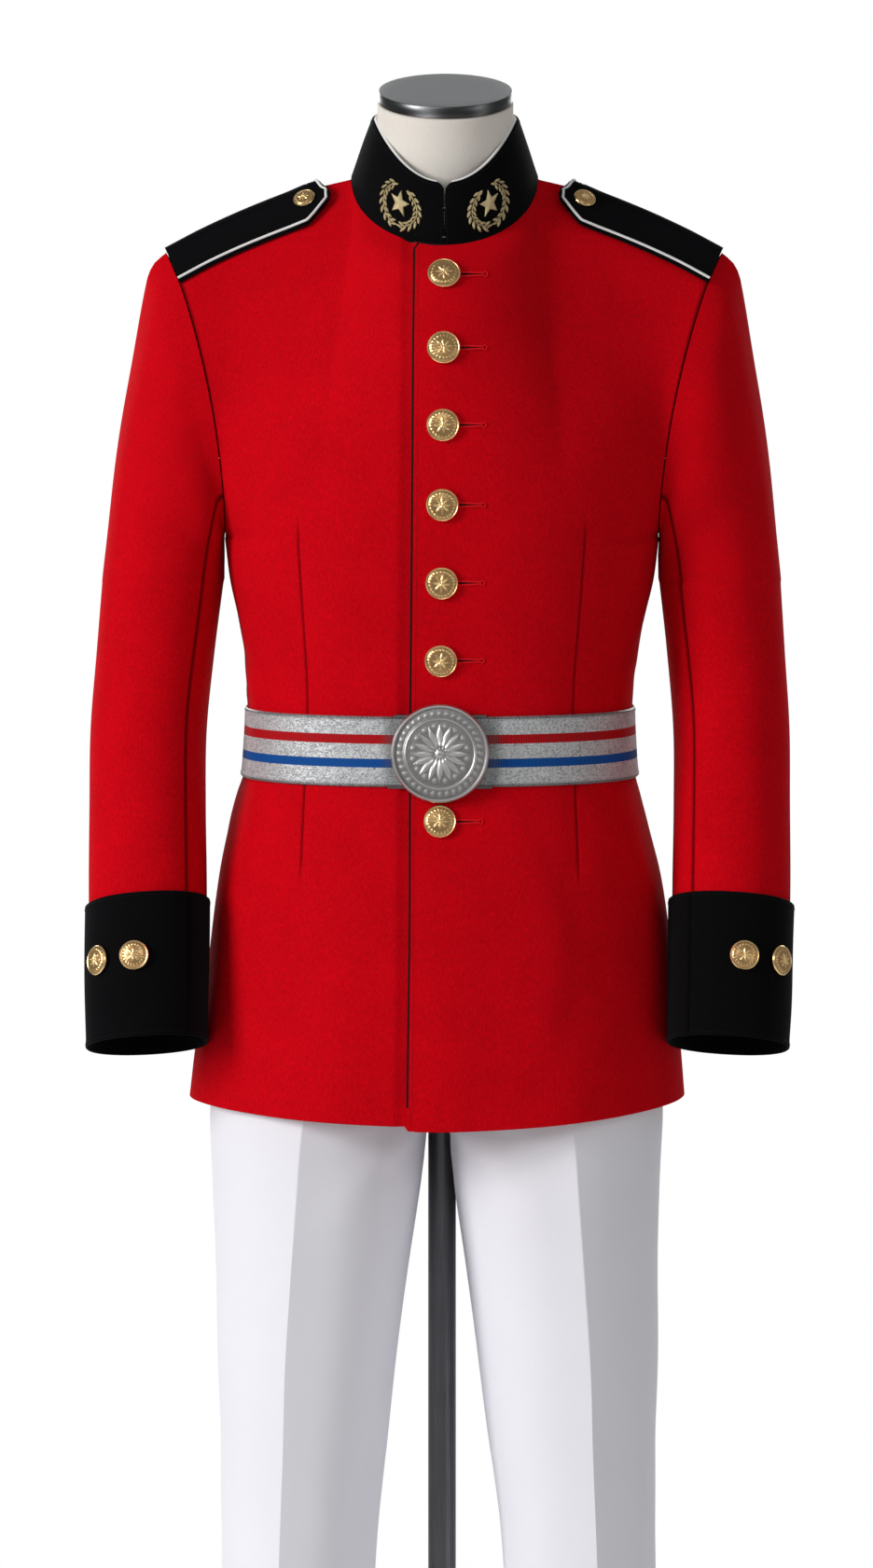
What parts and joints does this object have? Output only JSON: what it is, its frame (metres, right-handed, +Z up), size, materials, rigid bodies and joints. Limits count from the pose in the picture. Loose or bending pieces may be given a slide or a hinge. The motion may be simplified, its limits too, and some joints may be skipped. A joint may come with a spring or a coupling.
{
  "type": "firefighter dress uniform on a dress form",
  "caption": "Ceremonial tunic with stand collar, shoulder straps, deep cuffs and a buckled belt, over creased trousers, on a limbless dress form with a pole and round base.",
  "frame": {"origin": "centre of the base plate's underside, on the floor under the pole", "axes": "+Z up along the pole, the front of the uniform faces -Y, +X towards the wearer's left side"},
  "size_m": [0.579, 0.4, 1.6426],
  "materials": {
    "red_wool": "milled wool twill",
    "black_wool": "fine wool facing cloth",
    "white_cloth": "pressed trouser cloth",
    "white_piping": "cord piping",
    "gold_thread": "bullion embroidery",
    "webbing": "woven silver webbing with red and blue stripes",
    "gilt": "gilt, stamped",
    "silvered": "matt silvered, stamped",
    "steel": "satin",
    "linen": "cream linen cover"
  },
  "bodies": {
    "root": {"base_plate": "steel", "belt": "webbing", "buckle": "silvered", "collar": "black_wool", "cuff_button_left_1": "gilt", "cuff_button_left_2": "gilt", "cuff_button_right_1": "gilt", "cuff_button_right_2": "gilt", "cuff_left": "black_wool", "cuff_right": "black_wool", "form_torso": "linen", "front_button_1": "gilt", "front_button_2": "gilt", "front_button_3": "gilt", "front_button_4": "gilt", "front_button_5": "gilt", "front_button_6": "gilt", "front_button_7": "gilt", "front_piping": "black_wool", "neck_cap": "steel", "pole": "steel", "shoulder_strap_left": "black_wool", "shoulder_strap_right": "black_wool", "star_left": "gold_thread", "star_right": "gold_thread", "strap_button_left": "gilt", "strap_button_right": "gilt", "strap_piping_left": "white_piping", "strap_piping_right": "white_piping", "top_sleeve_left": "red_wool", "top_sleeve_right": "red_wool", "trouser_back_left": "white_cloth", "trouser_back_right": "white_cloth", "trouser_front_left": "white_cloth", "trouser_front_right": "white_cloth", "trouser_waistband": "white_cloth", "tunic_back_left": "red_wool", "tunic_back_right": "red_wool", "tunic_front_left": "red_wool", "tunic_front_right": "red_wool", "under_sleeve_left": "red_wool", "under_sleeve_right": "red_wool", "wreath_left": "gold_thread", "wreath_right": "gold_thread"}
  },
  "joints": []
}
